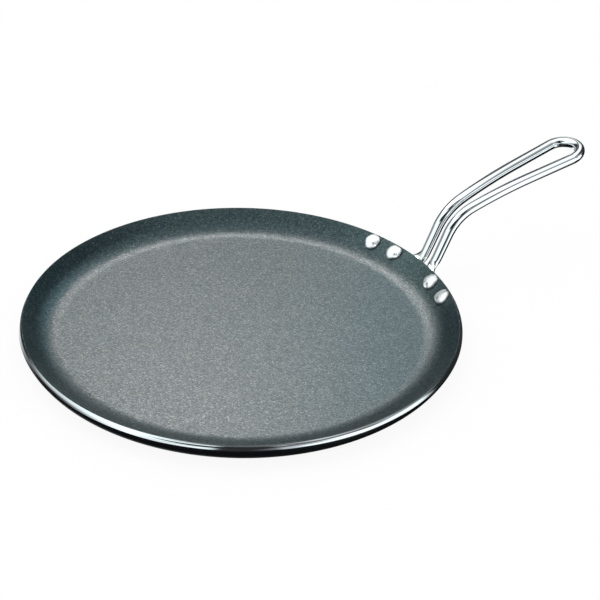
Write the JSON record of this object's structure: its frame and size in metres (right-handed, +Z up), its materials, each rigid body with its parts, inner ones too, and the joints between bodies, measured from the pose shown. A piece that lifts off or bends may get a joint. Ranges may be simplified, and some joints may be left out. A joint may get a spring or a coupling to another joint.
{
  "type": "griddle pan",
  "caption": "Shallow round griddle pan with a low flared wall, a bare metal rim and a looped rod handle riveted to the wall, for cooking flat food on a stovetop",
  "frame": {"origin": "centre of the pan's flat base, on the surface it stands on", "axes": "+Z up, +X along the handle away from the pan, +Y to the left seen from the pan towards the handle"},
  "size_m": [0.4362, 0.3, 0.0822],
  "materials": {
    "pan_coating": "speckled non-stick coating over aluminium, bare on the rim's face",
    "polished_steel": "mirror-polished stainless steel rod",
    "rivet_aluminium": "bright domed rivets"
  },
  "bodies": {
    "root": {"pan_body": "pan_coating", "handle": "polished_steel", "rivet_left_near": "rivet_aluminium", "rivet_left_far": "rivet_aluminium", "rivet_right_near": "rivet_aluminium", "rivet_right_far": "rivet_aluminium"}
  },
  "joints": []
}
